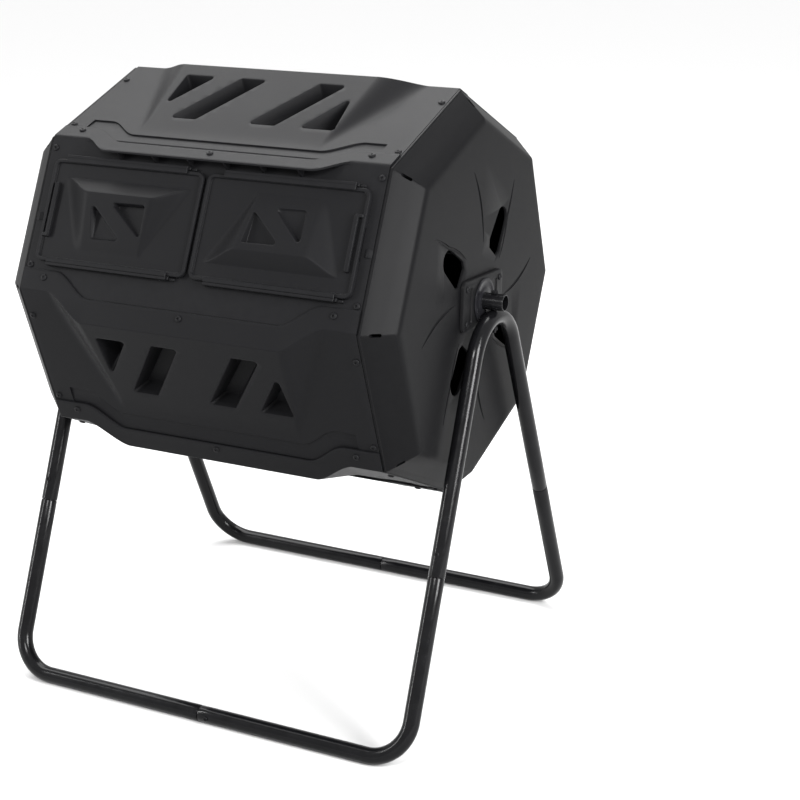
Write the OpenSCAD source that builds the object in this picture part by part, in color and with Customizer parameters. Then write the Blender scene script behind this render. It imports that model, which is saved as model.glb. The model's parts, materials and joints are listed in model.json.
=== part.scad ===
// Two-chamber compost tumbler: an eight-sided drum that turns on an axle between two A-frames.
// X runs along the axle and the doors face -Y. The origin is on the ground under the middle
// of the drum. The sides of the drum are numbered by the corner that each one starts from:
// corner 0 points along +Y, corner 2 up, corner 4 along -Y and corner 6 down, before the
// small resting turn. A side is drawn flat, with its leading corner along X, y running back
// from that corner (so every point of the side has a negative y) and z pointing outward.

/* [Drum] */
// Distance from the axle to a corner of the drum
drum_radius = 305; // [295:1:312]
// Length of the drum between the rims of its end caps
drum_length = 568; // [550:1:600]
// How far each end cap stands out past its rim
cap_depth = 40; // [34:1:46]
// Distance from the axle to a corner of an end cap's flat face
cap_face_radius = 265; // [250:1:275]
// Thickness of the moulded walls
wall = 4; // [3:0.5:5]
// How far the drum is turned at rest from standing exactly on a corner, in degrees
rest_turn = -4; // [-10:1:10]

/* [Louvred panels] */
// How far the edge strip of a panel laps over the panel before it
seam_lap = 35; // [30:1:38]
// How far the fold line is carried past the corner in the middle of a panel
fold_shift = 36; // [30:1:40]
// Thickness of the lapping strip
strip_thickness = 3; // [2:0.5:3.5]
// Distance from the leading corner at which the raised middle dies out
rise_end = 190; // [180:1:195]
// Width of a slanted pocket along the axle
pocket_width = 47; // [40:1:50]
// Sideways slant of a pocket from its top to its bottom
pocket_slant = 75; // [65:1:85]
// How far the floor of a pocket lies inside the side's plane: the pockets are fins on the inside
pocket_depth = 19; // [0:1:25]

/* [Doors] */
// Width of a door along the axle
door_width = 259; // [254:1:260]
// Height of a door across its side of the drum
door_height = 154; // [150:1:155]
// How far a door stands out from its side of the drum at its crest
door_crest = 20; // [14:1:22]
// How far the doors are drawn slid open
doors_open = 0; // [0:1:68]

/* [Frame] */
// Outer diameter of the frame tubes and of the axle
tube_d = 25; // [22:0.5:26]
// Thickness of the tube walls
tube_wall = 1.5; // [1.2:0.1:2]
// Height of the axle above the ground
axle_height = 626; // [600:1:660]
// Distance from the middle to the centre line of a ground bar
foot_spread = 305; // [290:1:330]
// Bend radius at the top of each A-frame
apex_radius = 74; // [60:1:85]
// Bend radius at each foot
foot_radius = 62; // [50:1:75]
// Distance along a leg from the ground bar to the joint of its two tubes
joint_distance = 273; // [250:1:300]

/* [Hidden] */

$fn = 48;
moulded = [0.16, 0.16, 0.17];
painted = [0.05, 0.05, 0.055];
fastener = [0.1, 0.1, 0.1];

corners = 8;
half_step = 180 / corners;
side = 2 * drum_radius * sin(half_step);
apothem = drum_radius * cos(half_step);
fold_cos = cos(45);
gap = 0.3;
eps = 0.01;
far = 400;

// Drum
rim_half = drum_length / 2;
rim_width = 4;
panel_half = rim_half - rim_width - gap;
face_x = rim_half + cap_depth;
tuck_width = 30;
cap_bore = drum_radius - 2 * wall - 1;
slot_width = 5;
slot_length = 13;
door_side = 3;

// Wavy lines across a panel: level near the ends, level in the middle
wave_in = 163;
wave_out = 226;
strip_root = 0.5;
strip_narrowing = 4;
rise_in = 168;
rise_out = 222;
rise_back = 155;
ridge = fold_shift * fold_cos;
rise_slope = ridge / (rise_end - ridge);
inner_ridge = ridge + wall * (sqrt(2) - 1) / (1 + rise_slope);

// Slanted pockets
pocket_top = 51;
pocket_bottom = 153;
pocket_reach = 149;
pocket_steps = [-145, -53, 82, 174];

// Groove near the trailing edge
groove_end = 169;
groove_mid = 204;
groove_width = 4;
groove_depth = 1.2;
groove_reach = 250;

// Panel screws
screw_shank = 2;
screw_hole = 2.3;
screw_head = 5;
screw_head_height = 2.4;
cap_screw_x = rim_half - 12;
cap_screw_rows = [43, 190];
door_screw_rows = [15, 193];
seam_screw_x = 242;
seam_screw_back = 23;
divider_screw_on = 10;

// Doors and the rails that hold them
door_inner = 4;
door_outer = door_inner + door_width;
door_top = 32;
door_bottom = door_top + door_height;
door_lift = 0.5;
door_edge = 7;
door_wall = 3;
door_rim = 6.5;
door_round = 12;
recess_floor = 5;
shelf_row = door_bottom - 25;
crest_row = shelf_row - 23;
grip_in = 10.5;
grip_width = 7;
grip_height = 10;
opening_inner = 20;
opening_outer = 244;
opening_top = 48;
opening_bottom = 172;
opening_round = 10;
rail_inner = 27;
rail_outer = 245;
rail_foot = 6;
rail_lip = 5;
rail_lip_height = 2.5;
catch_x = 274;
catch_row = 120;
catch_size = 12;
catch_height = 2.2;
hood_reach = 27;
hood_ribs = [-150, -90, -30, 30, 90, 150];
hood_rib_thickness = 3;

// Hub and axle
tube_r = tube_d / 2;
running_gap = 0.08;
bush_r = tube_r + 4.5;
bush_flange_r = 26;
hub_length = 140;
hub_height = 75;
hub_thickness = 6;
washer_r = 34;
washer_thickness = 3;
frame_x = face_x + gap + hub_thickness + washer_thickness + 0.5 + tube_r;
axle_half = frame_x + 19.5;
hub_screw_y = 58;
hub_screw_z = 26;
vent_turn = 56.5;
vent_in = 84;
vent_out = 136;
vent_r = 17;
bolt_r = 3;
bolt_hole = 3.4;
bolt_head_r = 5.5;
bolt_head_height = 4;
bolt_x = frame_x + 2;

// Frame
bar_z = tube_r;
apex_z = axle_height - tube_d - 0.05;
leg_rise = apex_z - apex_radius - bar_z;
// Tilt of a leg from upright, so that the bent apex and the ground bar share its line
leg_reach = sqrt(leg_rise * leg_rise + foot_spread * foot_spread);
leg_tilt = atan2(foot_spread, leg_rise) - asin(apex_radius / leg_reach);
leg_length = sqrt(leg_reach * leg_reach - apex_radius * apex_radius);
spigot_length = 50;
spigot_r = tube_r - tube_wall - 0.1;
spigot_bore = spigot_r - tube_wall;
swage_length = 6;
leg_screw_up = 33;
bar_screw_x = 16;

// ---------- Placing ----------

// The whole drum at its resting turn, about its own axis
module on_drum() {
    translate([0, 0, axle_height]) rotate([rest_turn, 0, 0]) children();
}

// A flat drawing laid on one side of the drum
module on_side(k) {
    rotate([45 * k + half_step - 90, 0, 0]) translate([0, side / 2, apothem]) children();
}

// The plane of the side before, measured from this side's leading corner
module on_side_before(k) {
    on_side(k - 1) translate([0, -side, 0]) children();
}

// One end of the tumbler: dir is 1 at the right and -1 at the left
module at_end(dir) {
    if (dir > 0) {
        children();
    } else {
        mirror([1, 0, 0]) children();
    }
}

// An eight-sided prism along X with its corners where the drum has them
module prism(x, length, radius) {
    translate([x, 0, 0]) rotate([90, 0, 90]) cylinder(h = length, r = radius, $fn = corners);
}

module rod_x(x, length, radius) {
    translate([x, 0, 0]) rotate([0, 90, 0]) cylinder(h = length, r = radius);
}

// ---------- Outlines drawn flat ----------

// Points of a line across the panel that runs at one level near its ends and another in its middle
function wave(reach, ends, middle, shift = 0) = [
    [-reach, -ends], [-wave_out + shift, -ends], [-wave_in + shift, -middle],
    [wave_in - shift, -middle], [wave_out - shift, -ends], [reach, -ends]
];

function reversed(points) = [for (i = [len(points) - 1:-1:0]) points[i]];

module band(reach, from_ends, from_middle, to_ends, to_middle, shift = 0) {
    polygon(concat(wave(reach, from_ends, from_middle, shift), reversed(wave(reach, to_ends, to_middle))));
}

// One slanted pocket, grown on every side by a margin and cut off at the panel's raised middle
module pocket(left, margin) {
    slope = pocket_slant / (pocket_bottom - pocket_top);
    top = pocket_top - margin;
    bottom = pocket_bottom + margin;
    side_margin = margin * sqrt(1 + slope * slope);
    intersection() {
        polygon([
            [left - side_margin + slope * margin, -top],
            [left + pocket_width + side_margin + slope * margin, -top],
            [left + pocket_width + side_margin - slope * (bottom - pocket_top), -bottom],
            [left - side_margin - slope * (bottom - pocket_top), -bottom]
        ]);
        translate([-pocket_reach - margin, -bottom]) square([2 * (pocket_reach + margin), bottom - top]);
    }
}

// All four pockets of a panel, from a level outward
module pockets(margin, level) {
    for (left = pocket_steps) {
        translate([0, 0, level]) linear_extrude(far) pocket(left, margin);
    }
}

module rounded_rect(x0, y0, x1, y1, r) {
    translate([x0 + r, y0]) square([x1 - x0 - 2 * r, y1 - y0]);
    translate([x0, y0 + r]) square([x1 - x0, y1 - y0 - 2 * r]);
    for (x = [x0 + r, x1 - r]) {
        for (y = [y0 + r, y1 - r]) {
            translate([x, y]) circle(r = r);
        }
    }
}

// ---------- Drum ----------

// The raised middle of a louvred panel: it leaves the corner in the plane of the side before,
// folds over, and slopes back down to the flat of the panel
module rise() {
    hull() {
        translate([0, 0, -wall]) linear_extrude(wall) polygon([
            [-rise_out, 0], [rise_out, 0], [rise_back, -rise_end], [-rise_back, -rise_end]
        ]);
        translate([-rise_in, -ridge, ridge - eps]) cube([2 * rise_in, eps, eps]);
    }
}

// The hollow under the raised middle, one wall thinner on every face
module rise_hollow() {
    front = wall * tan(half_step);
    hull() {
        translate([0, 0, -wall - 2]) linear_extrude(2) polygon([
            [-rise_out + wall + 2, -front], [rise_out - wall - 2, -front],
            [rise_back - wall, -rise_end + 4], [-rise_back + wall, -rise_end + 4]
        ]);
        translate([-rise_in + wall, -inner_ridge - eps, inner_ridge - wall * sqrt(2)])
            cube([2 * (rise_in - wall), eps, eps]);
    }
}

// The strip that laps over the side before, with the bead that joins it to its own panel
module lap_strip(k, middle_reach) {
    on_side_before(k) {
        linear_extrude(strip_thickness)
            band(panel_half, -seam_lap, 0, 0, middle_reach, strip_narrowing);
        translate([-panel_half, -strip_root, -wall])
            cube([2 * panel_half, strip_root + wall, wall + strip_thickness]);
    }
}

// Holes through one side: rows of end screws, and the screws of the next panel's strip
module side_holes(rows) {
    for (x = [-cap_screw_x, cap_screw_x]) {
        for (row = rows) {
            translate([x, -row, -far / 2]) cylinder(h = far, r = screw_hole);
        }
    }
}

module strip_holes(depth) {
    for (x = [-seam_screw_x, seam_screw_x]) {
        translate([x, seam_screw_back, -depth]) cylinder(h = 2 * depth, r = screw_hole);
    }
    translate([0, -divider_screw_on, -depth]) cylinder(h = 2 * depth, r = screw_hole);
}

module flat_plate() {
    translate([-panel_half, -side + 5, -wall]) cube([2 * panel_half, side - 5, wall]);
}

module trailing_groove() {
    translate([0, 0, -groove_depth]) linear_extrude(wall) {
        band(groove_reach, groove_end, groove_mid, groove_end + groove_width, groove_mid + groove_width);
        for (dir = [-1, 1]) {
            translate([dir * groove_reach - groove_width / 2, -side + seam_lap + 1])
                square([groove_width, side - seam_lap - groove_end]);
        }
    }
}

module side_panel(k) {
    color(moulded) on_drum() difference() {
        union() {
            on_side(k) difference() {
                union() {
                    flat_plate();
                    rise();
                }
                rise_hollow();
            }
            on_side(k) {
                intersection() {
                    rise();
                    pockets(wall - 1, -wall);
                }
                intersection() {
                    translate([-far / 2, -far, -far]) cube([far, far, far]);
                    pockets(wall - 1, -pocket_depth - wall + 1);
                }
            }
            lap_strip(k, fold_shift);
        }
        on_side(k) {
            pockets(0, -pocket_depth);
            trailing_groove();
            side_holes(cap_screw_rows);
        }
        on_side_before(k) strip_holes(14);
        on_side_before(k + 1) strip_holes(9);
    }
}

// The side with the two openings, the hood over them and the rails for the doors
module door_panel() {
    color(moulded) on_drum() difference() {
        union() {
            on_side(door_side) {
                flat_plate();
                for (dir = [0, 1]) {
                    mirror([dir, 0, 0]) {
                        door_rails();
                        door_catch();
                    }
                }
            }
            lap_strip(door_side, hood_reach);
            hood_underside();
        }
        on_side(door_side) {
            for (dir = [0, 1]) {
                mirror([dir, 0, 0]) translate([0, 0, -wall - 1]) linear_extrude(wall + 2) rounded_rect(
                    opening_inner, -opening_bottom, opening_outer, -opening_top, opening_round);
            }
            side_holes(door_screw_rows);
        }
        on_side_before(door_side) strip_holes(9);
        on_side_before(door_side + 1) strip_holes(9);
    }
}

// Upright ribs that carry the hood
module hood_underside() {
    reach = (hood_reach - 2) * fold_cos;
    for (x = hood_ribs) {
        on_side(door_side) translate([x - hood_rib_thickness / 2, 0, 0]) rotate([90, 0, 90])
            linear_extrude(hood_rib_thickness)
                polygon([[0, -1], [0, 0.5], [-reach, reach + 0.5], [-reach - 1, -1]]);
    }
}

// The two rails of the right-hand door: each is a foot with a lip over the door's edge
module door_rails() {
    lip_z = door_lift + door_edge + 0.5;
    for (row = [door_top - gap - rail_foot, door_bottom + gap]) {
        translate([rail_inner, -row - rail_foot, -1])
            cube([rail_outer - rail_inner, rail_foot, lip_z + rail_lip_height + 1]);
    }
    for (row = [door_top - gap - 1, door_bottom + gap + 1 - rail_lip - 1]) {
        translate([rail_inner, -row - rail_lip - 1, lip_z])
            cube([rail_outer - rail_inner, rail_lip + 1, rail_lip_height]);
    }
}

// A low ramp just outside the door's closed edge
module door_catch() {
    translate([catch_x - catch_size / 2, -catch_row + catch_size / 2, 0]) rotate([90, 0, 0])
        linear_extrude(catch_size) polygon([
            [0, -1], [catch_size, -1], [catch_size, 0.5], [catch_size / 2, catch_height], [0, 0.5]
        ]);
}

// The right-hand door, drawn on its side of the drum: a rimmed tray with a raised middle whose
// crest runs along its lower part
module door_shape() {
    difference() {
        union() {
            difference() {
                union() {
                    door_tray();
                    door_swell(0);
                }
                door_swell(door_wall);
            }
            intersection() {
                door_swell(0);
                translate([0, 0, recess_floor - 2]) linear_extrude(far) door_triangles(2.5);
            }
            translate([door_outer - grip_in - grip_width, -door_bottom + 36, door_lift + 1])
                cube([grip_width, 82, grip_height - door_lift - 1]);
        }
        translate([door_outer - door_wall - 30, -(door_top + door_bottom) / 2 - 24, -1])
            cube([door_wall + 40, 48, catch_height + 1.3]);
        translate([0, 0, recess_floor]) linear_extrude(far) door_triangles(0);
    }
}

// The flat of a door with its raised rim; the flat is thicker where it passes over the catch
module door_tray() {
    translate([0, 0, door_lift]) difference() {
        linear_extrude(door_edge)
            rounded_rect(door_inner, -door_bottom, door_outer, -door_top, door_round);
        translate([0, 0, door_wall]) linear_extrude(far) rounded_rect(door_inner + door_rim,
            -door_bottom + door_rim, door_outer - door_rim, -door_top - door_rim, door_round - door_rim);
    }
    translate([door_outer - door_wall - 34, -(door_top + door_bottom) / 2 - 28, door_lift])
        cube([door_wall + 34, 56, door_wall + 2]);
}

// The raised middle of a door, or the hollow under it when it is drawn one wall smaller
module door_swell(inset) {
    base_z = inset > 0 ? -1 : door_lift + 1;
    hull() {
        translate([door_inner + 14 + inset, -shelf_row + inset, base_z])
            cube([door_width - 38 - 2 * inset, shelf_row - door_top - 28 - 2 * inset, door_lift + door_wall
                - base_z - inset]);
        translate([door_inner + 74 + inset, -crest_row, door_crest - 1 - inset])
            cube([door_width - 152 - 2 * inset, 2, 1]);
    }
}

// Two three-cornered recesses beside a slanted band
module door_triangles(margin) {
    offset(delta = margin) {
        polygon([[123, -73], [171, -72], [175, -123]]);
        polygon([[89, -79], [84, -127], [143, -126]]);
    }
}

module door_right() {
    color(moulded) on_drum() on_side(door_side) translate([doors_open, 0, 0]) door_shape();
}

// The left-hand door is the same moulding turned end for end
module door_left() {
    color(moulded) on_drum() on_side(door_side)
        translate([-doors_open, -door_top - door_bottom, 0]) rotate([0, 0, 180]) door_shape();
}

// Tray-shaped end cap: rim, tuck under the panels, sloping shoulder and flat face with vents
module end_cap(dir) {
    color(moulded) on_drum() difference() {
        at_end(dir) {
            difference() {
                union() {
                    prism(rim_half - rim_width, rim_width, drum_radius);
                    prism(rim_half - tuck_width, tuck_width, drum_radius - (wall + gap) / cos(half_step));
                    cap_cone(rim_half - eps, drum_radius, face_x, cap_face_radius);
                }
                prism(rim_half - tuck_width - 1, tuck_width + 1 + eps, cap_bore);
                cap_hollow();
                rod_x(0, far, bush_r + 0.1);
                for (k = [0:3]) {
                    rotate([90 * k + vent_turn, 0, 0]) cap_vent();
                }
                for (k = [0:corners - 1]) {
                    rotate([45 * k, 0, 0]) translate([rim_half + 9, drum_radius - 40, -slot_width / 2])
                        cube([slot_length, 50, slot_width]);
                }
                for (y = [-hub_screw_y, hub_screw_y]) {
                    for (z = [-hub_screw_z, hub_screw_z]) {
                        translate([0, y, z]) rod_x(0, far, screw_hole);
                    }
                }
            }
        }
        for (k = [0:corners - 1]) {
            on_side(k) side_holes(k == door_side ? door_screw_rows : cap_screw_rows);
        }
    }
}

// An eight-sided cone along X between two places
module cap_cone(x0, r0, x1, r1) {
    translate([x0, 0, 0]) rotate([90, 0, 90]) cylinder(h = x1 - x0, r1 = r0, r2 = r1, $fn = corners);
}

module cap_hollow() {
    cap_cone(rim_half, cap_bore, face_x - wall, cap_face_radius - wall);
}

// A radial vent that starts at the hub and ends in a half round
module cap_vent() {
    translate([0, vent_in, -vent_r]) cube([far, vent_out - vent_in, 2 * vent_r]);
    translate([0, vent_out, 0]) rod_x(0, far, vent_r);
}

// Wall between the two chambers, with tabs that fill the raised middles of the panels; it is cut
// away round the pockets that reach it
module divider() {
    plate = 5;
    rim = 24;
    inner_r = drum_radius - (wall + gap) / cos(half_step);
    color(moulded) on_drum() difference() {
        union() {
            prism(-plate / 2, plate, inner_r);
            difference() {
                prism(-rim / 2, rim, inner_r);
                prism(-rim, 2 * rim, inner_r - wall);
            }
            for (k = [0:corners - 1]) {
                if (k != door_side) {
                    divider_boss(k);
                    on_side(k) divider_tab(plate);
                }
            }
        }
        rod_x(-far, 2 * far, tube_r + 3);
        for (k = [0:corners - 1]) {
            if (k != door_side) {
                on_side_before(k) translate([0, -divider_screw_on, -22]) cylinder(h = 30, r = screw_hole);
                on_side(k) pockets(wall - 1 + gap, -pocket_depth - wall + 1 - gap);
            }
        }
    }
}

// Fills the hollow of a panel's raised middle, with a little room all round
module divider_tab(plate) {
    translate([-plate / 2, 0, 0]) rotate([90, 0, 90]) linear_extrude(plate) polygon([
        [-3 - gap, -wall - 1], [-inner_ridge, inner_ridge - wall * sqrt(2) - 3 * gap],
        [-rise_end + 10, -wall - 1]
    ]);
}

// Boss that takes the middle screw of a panel's strip
module divider_boss(k) {
    on_side_before(k) translate([0, -divider_screw_on, -26]) cylinder(h = 26 - wall - gap, r = 6);
}

// ---------- Fasteners of the drum ----------

module pan_screw(length) {
    translate([0, 0, gap]) cylinder(h = screw_head_height, r = screw_head);
    translate([0, 0, gap - length]) cylinder(h = length, r = screw_shank);
}

module cap_screws(dir) {
    color(fastener) on_drum() for (k = [0:corners - 1]) {
        on_side(k) for (row = k == door_side ? door_screw_rows : cap_screw_rows) {
            translate([dir * cap_screw_x, -row, 0]) pan_screw(14);
        }
    }
}

module seam_screws() {
    color(fastener) on_drum() for (k = [0:corners - 1]) {
        on_side_before(k) for (dir = [-1, 1]) {
            translate([dir * seam_screw_x, seam_screw_back, strip_thickness]) pan_screw(14);
        }
    }
}

module divider_screws() {
    color(fastener) on_drum() for (k = [0:corners - 1]) {
        on_side_before(k) translate([0, -divider_screw_on, strip_thickness])
            pan_screw(k == door_side ? 10 : 20);
    }
}

// ---------- Hubs and axle ----------

module hub_plate(dir) {
    color(moulded) on_drum() at_end(dir) difference() {
        translate([face_x + gap, 0, 0]) rotate([90, 0, 90]) linear_extrude(hub_thickness)
            rounded_rect(-hub_length / 2, -hub_height / 2, hub_length / 2, hub_height / 2, 10);
        rod_x(0, far, bush_flange_r + gap);
        for (y = [-hub_screw_y, hub_screw_y]) {
            for (z = [-hub_screw_z, hub_screw_z]) {
                translate([0, y, z]) rod_x(0, far, screw_hole);
            }
        }
    }
}

module hub_screws(dir) {
    color(fastener) on_drum() at_end(dir) for (y = [-hub_screw_y, hub_screw_y]) {
        for (z = [-hub_screw_z, hub_screw_z]) {
            translate([face_x + gap + hub_thickness, y, z]) rotate([0, 90, 0]) {
                translate([0, 0, gap]) cylinder(h = 2, r = screw_head);
                translate([0, 0, gap - 16]) cylinder(h = 16, r = screw_shank);
            }
        }
    }
}

// Flanged bush that turns on the axle
module hub_bush(dir) {
    color(fastener) on_drum() at_end(dir) difference() {
        union() {
            rod_x(face_x - 24, 24 + gap, bush_r);
            rod_x(face_x + gap, hub_thickness, bush_flange_r);
        }
        rod_x(0, far, tube_r + running_gap);
    }
}

module hub_washer(dir) {
    color(fastener) on_drum() at_end(dir) difference() {
        rod_x(face_x + 2 * gap + hub_thickness, washer_thickness - gap, washer_r);
        rod_x(0, far, tube_r + 0.4);
    }
}

module axle_tube() {
    color(painted) translate([0, 0, axle_height]) difference() {
        rod_x(-axle_half, 2 * axle_half, tube_r);
        rod_x(-axle_half - 1, 2 * axle_half + 2, tube_r - tube_wall);
        for (dir = [-1, 1]) {
            translate([dir * bolt_x, 0, -far / 2]) cylinder(h = far, r = bolt_hole);
        }
    }
}

module axle_bolt(dir) {
    reach = 2 * tube_d + 10;
    color(fastener) translate([dir * bolt_x, 0, axle_height + tube_r + gap]) {
        cylinder(h = bolt_head_height, r = bolt_head_r);
        translate([0, 0, -reach]) cylinder(h = reach, r = bolt_r);
    }
}

module axle_nut(dir) {
    color(fastener) translate([dir * bolt_x, 0, apex_z - tube_r - gap - 5]) difference() {
        cylinder(h = 5, r = bolt_head_r, $fn = 6);
        translate([0, 0, -1]) cylinder(h = 7, r = bolt_r + 0.1);
    }
}

// ---------- Frame ----------

module tube(length, r) {
    cylinder(h = length, r = r);
}

module bend(angle, radius, r) {
    rotate_extrude(angle = angle) translate([radius, 0]) circle(r = r);
}

// An A-frame drawn as a solid rod: both legs run past the joint by the spare length
module upper_run(r, spare) {
    length = leg_length - joint_distance + spare;
    translate([0, 0, apex_z - apex_radius]) {
        rotate([90, 0, 90]) rotate([0, 0, leg_tilt]) bend(180 - 2 * leg_tilt, apex_radius, r);
        for (dir = [-1, 1]) {
            rotate([dir * leg_tilt, 0, 0]) translate([0, dir * apex_radius, -length]) tube(length, r);
        }
    }
}

// Bent tube at the top of each A-frame
module upper_frame(dir) {
    color(painted) difference() {
        translate([dir * frame_x, 0, 0]) upper_run(tube_r, 0);
        translate([dir * frame_x, 0, 0]) upper_run(tube_r - tube_wall, 5);
        translate([dir * bolt_x, 0, apex_z - far / 2]) cylinder(h = far, r = bolt_hole);
        for (y_dir = [-1, 1]) {
            on_leg(dir, y_dir) leg_screw_hole(y_dir);
        }
    }
}

// Frame of a leg: origin at its ground bar, z up along the leg
module on_leg(dir, y_dir) {
    translate([dir * frame_x, y_dir * foot_spread, bar_z]) rotate([y_dir * leg_tilt, 0, 0]) children();
}

module leg_screw_hole(y_dir) {
    translate([0, 0, joint_distance + leg_screw_up]) rotate([-y_dir * 90, 0, 0])
        cylinder(h = 30, r = screw_hole);
}

// Lower leg, foot bend and half of the ground bar, in one bent tube. Its upper end is drawn in to
// slide up into the A-frame, and on the left the end of the bar is drawn in as well
module lower_leg(dir, y_dir) {
    plain_bore = tube_r - tube_wall;
    bar_spare = dir > 0 ? 10 : -swage_length;
    color(painted) difference() {
        union() {
            lower_run(dir, y_dir, tube_r, 0, 0);
            on_leg(dir, y_dir) translate([0, 0, joint_distance - 2 * gap])
                cylinder(h = spigot_length, r = spigot_r);
            if (dir < 0) {
                bar_rod(y_dir, -2 * gap, spigot_length, spigot_r);
            }
        }
        lower_run(dir, y_dir, plain_bore, -swage_length, bar_spare);
        on_leg(dir, y_dir) translate([0, 0, joint_distance - 2 * swage_length])
            cylinder(h = 2 * spigot_length, r = spigot_bore);
        if (dir < 0) {
            bar_rod(y_dir, -2 * swage_length, 2 * spigot_length, spigot_bore);
        }
        on_leg(dir, y_dir) leg_screw_hole(y_dir);
        translate([bar_screw_x, y_dir * foot_spread, bar_z]) rotate([-y_dir * 90, 0, 0])
            cylinder(h = 30, r = screw_hole);
    }
}

module bar_rod(y_dir, x, length, r) {
    translate([x, y_dir * foot_spread, bar_z]) rotate([0, 90, 0]) cylinder(h = length, r = r);
}

// The run of a lower leg as a solid rod, with spare length at the top and at the bar's inner end
module lower_run(dir, y_dir, r, top_spare, bar_spare) {
    on_leg(dir, y_dir) rotate([0, 0, dir > 0 ? 180 : 0]) {
        translate([0, 0, foot_radius]) tube(joint_distance - gap - foot_radius + top_spare, r);
        translate([foot_radius, 0, foot_radius]) rotate([90, 0, 0]) rotate([0, 0, 180])
            bend(90, foot_radius, r);
        translate([foot_radius, 0, 0]) rotate([0, 90, 0])
            tube(frame_x - foot_radius - gap + bar_spare, r);
    }
}

module tube_screw() {
    translate([0, 0, tube_r + gap]) cylinder(h = 2.6, r = 4);
    translate([0, 0, tube_r - 7]) cylinder(h = 7 + gap, r = screw_shank);
}

module leg_screw(dir, y_dir) {
    color(fastener) on_leg(dir, y_dir) translate([0, 0, joint_distance + leg_screw_up])
        rotate([-y_dir * 90, 0, 0]) tube_screw();
}

module bar_screw(y_dir) {
    color(fastener) translate([bar_screw_x, y_dir * foot_spread, bar_z]) rotate([-y_dir * 90, 0, 0])
        tube_screw();
}

end_cap(-1);  // end_cap_left
end_cap(1);  // end_cap_right
divider();
side_panel(4);  // side_panel_1
side_panel(5);  // side_panel_2
side_panel(6);  // side_panel_3
side_panel(7);  // side_panel_4
side_panel(8);  // side_panel_5
side_panel(1);  // side_panel_6
side_panel(2);  // side_panel_7
door_panel();
door_left();
door_right();
cap_screws(-1);  // cap_screws_left
cap_screws(1);  // cap_screws_right
seam_screws();
divider_screws();
hub_plate(-1);  // hub_plate_left
hub_plate(1);  // hub_plate_right
hub_screws(-1);  // hub_screws_left
hub_screws(1);  // hub_screws_right
hub_bush(-1);  // hub_bush_left
hub_bush(1);  // hub_bush_right
hub_washer(-1);  // hub_washer_left
hub_washer(1);  // hub_washer_right
axle_tube();
axle_bolt(-1);  // axle_bolt_left
axle_bolt(1);  // axle_bolt_right
axle_nut(-1);  // axle_nut_left
axle_nut(1);  // axle_nut_right
upper_frame(-1);  // upper_frame_left
upper_frame(1);  // upper_frame_right
lower_leg(-1, -1);  // lower_leg_front_left
lower_leg(1, -1);  // lower_leg_front_right
lower_leg(-1, 1);  // lower_leg_back_left
lower_leg(1, 1);  // lower_leg_back_right
leg_screw(-1, -1);  // leg_screw_front_left
leg_screw(1, -1);  // leg_screw_front_right
leg_screw(-1, 1);  // leg_screw_back_left
leg_screw(1, 1);  // leg_screw_back_right
bar_screw(-1);  // bar_screw_front
bar_screw(1);  // bar_screw_back
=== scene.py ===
import json
import math

import bmesh
import bpy
import numpy as np
from mathutils import Matrix, Vector


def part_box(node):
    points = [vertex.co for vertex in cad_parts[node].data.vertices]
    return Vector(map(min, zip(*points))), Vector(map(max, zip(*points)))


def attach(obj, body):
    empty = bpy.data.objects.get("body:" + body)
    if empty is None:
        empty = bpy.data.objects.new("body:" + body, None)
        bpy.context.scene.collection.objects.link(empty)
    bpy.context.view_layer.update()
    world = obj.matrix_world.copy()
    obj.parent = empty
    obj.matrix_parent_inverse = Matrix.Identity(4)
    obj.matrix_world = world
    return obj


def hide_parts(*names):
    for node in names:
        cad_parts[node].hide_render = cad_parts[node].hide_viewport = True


# Looks of the two-chamber compost tumbler. Lengths inside the builders are in millimetres, in the
# drawing of one side of the drum: x along the axle, s back from the side's leading corner, and
# h outward. Everything is turned into metres in the frame when a mesh is made.

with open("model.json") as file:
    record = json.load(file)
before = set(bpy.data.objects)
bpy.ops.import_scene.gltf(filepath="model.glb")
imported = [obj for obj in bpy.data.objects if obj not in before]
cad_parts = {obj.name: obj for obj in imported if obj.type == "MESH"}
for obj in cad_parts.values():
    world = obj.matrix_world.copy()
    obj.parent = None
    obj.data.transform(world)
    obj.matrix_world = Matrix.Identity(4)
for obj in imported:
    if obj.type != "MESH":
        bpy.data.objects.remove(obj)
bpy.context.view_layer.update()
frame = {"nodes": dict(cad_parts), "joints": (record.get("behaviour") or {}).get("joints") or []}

MM = 0.001
SIDES = 8
DOOR_SIDE = 3
REST_TURN = math.radians(-4)
FOLD = math.cos(math.radians(45))


# ---------- Sizes read from the frame ----------

def mm_box(node):
    low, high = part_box(node)
    return np.array(low) / MM, np.array(high) / MM


JOINTS = {joint["name"]: joint for joint in frame["joints"]}
AXLE = np.array(JOINTS["drum_spin"]["pos_m"]) / MM
CAP_HIGH = mm_box("end_cap_right")[1]
FACE_X = CAP_HIGH[0]
DRUM_R = (CAP_HIGH[2] - AXLE[2]) / math.cos(REST_TURN)
SIDE = 2 * DRUM_R * math.sin(math.pi / SIDES)
APOTHEM = DRUM_R * math.cos(math.pi / SIDES)
PANEL_HALF = mm_box("side_panel_1")[1][0]
RIM_HALF = PANEL_HALF + 4.3
UPPER_LOW, UPPER_HIGH = mm_box("upper_frame_right")
TUBE_R = (UPPER_HIGH[0] - UPPER_LOW[0]) / 2
FRAME_X = (UPPER_HIGH[0] + UPPER_LOW[0]) / 2
APEX_Z = UPPER_HIGH[2] - TUBE_R
FOOT_LOW = mm_box("lower_leg_front_right")[0]
FOOT_SPREAD = -FOOT_LOW[1] - TUBE_R
BAR_Z = FOOT_LOW[2] + TUBE_R
AXLE_HALF = mm_box("axle_tube")[1][0]
HUB_LOW_X = mm_box("hub_plate_right")[0][0]
HUB_HIGH_X = mm_box("hub_plate_right")[1][0]
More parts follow.
